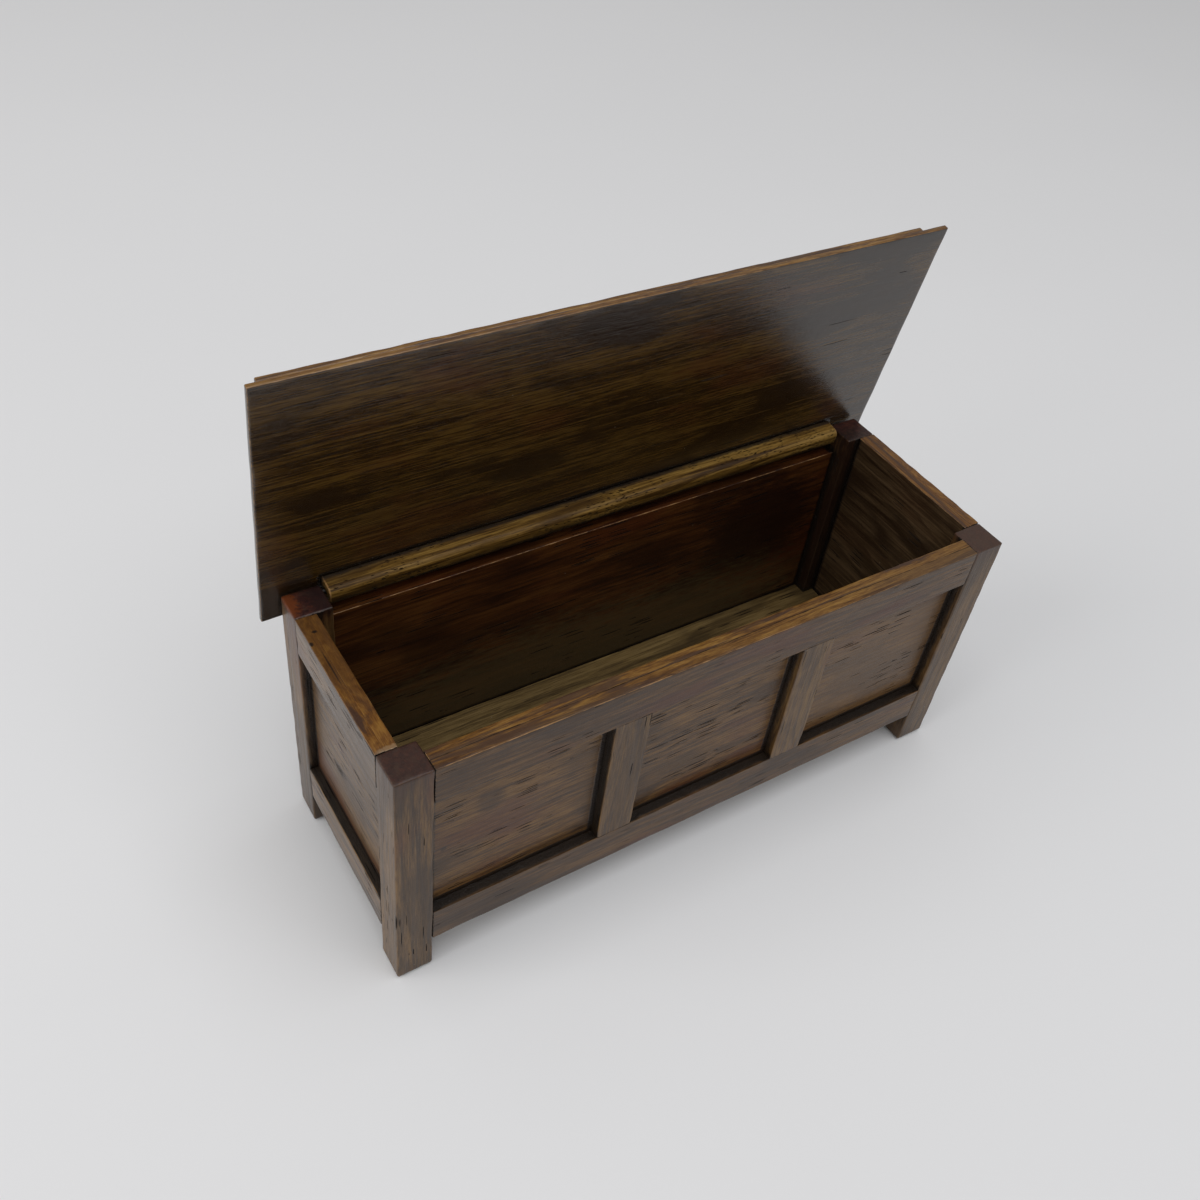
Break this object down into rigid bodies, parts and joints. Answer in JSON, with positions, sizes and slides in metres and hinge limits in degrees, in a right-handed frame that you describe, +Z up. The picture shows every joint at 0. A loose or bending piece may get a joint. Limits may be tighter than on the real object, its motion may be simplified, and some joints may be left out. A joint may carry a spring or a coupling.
{
  "type": "wooden toy box",
  "caption": "Miniature framed wooden chest for a doll's house, open box on four posts with recessed panels and a pinned lid that swings up.",
  "frame": {"origin": "on the ground, under the middle of the case (midway between the four feet)", "axes": "+X along the chest to its right end, +Y from the front to the back, +Z up"},
  "size_m": [0.1262, 0.0452, 0.0962],
  "materials": {
    "posts": "dark walnut stain, satin lacquer",
    "rails": "dark walnut stain, satin lacquer",
    "boards": "dark walnut stain over open pores, satin lacquer",
    "floor": "lighter olive-brown stain, satin lacquer",
    "lid": "dark olive-brown stain, gloss lacquer",
    "bar": "golden brown with black pores, satin lacquer",
    "pins": "drawn wire, cut flush"
  },
  "bodies": {
    "case": {"front_left_post": "posts", "front_right_post": "posts", "rear_left_post": "posts", "rear_right_post": "posts", "front_board": "boards", "front_top_rail": "rails", "front_bottom_rail": "rails", "front_left_muntin": "rails", "front_right_muntin": "rails", "left_end_board": "boards", "left_end_top_rail": "rails", "left_end_bottom_rail": "rails", "right_end_board": "boards", "right_end_top_rail": "rails", "right_end_bottom_rail": "rails", "back_board": "boards", "floor_board": "floor", "left_hinge_pin": "pins", "right_hinge_pin": "pins"},
    "lid": {"lid_board": "lid", "lid_cover_board": "lid", "hinge_bar": "bar"}
  },
  "joints": [
    {"name": "lid_hinge", "type": "hinge", "parent": "case", "child": "lid", "pos_m": [0, 0.0201, 0.0518], "axis": [-1, 0, 0], "range_deg": [-82.2, 11]}
  ]
}
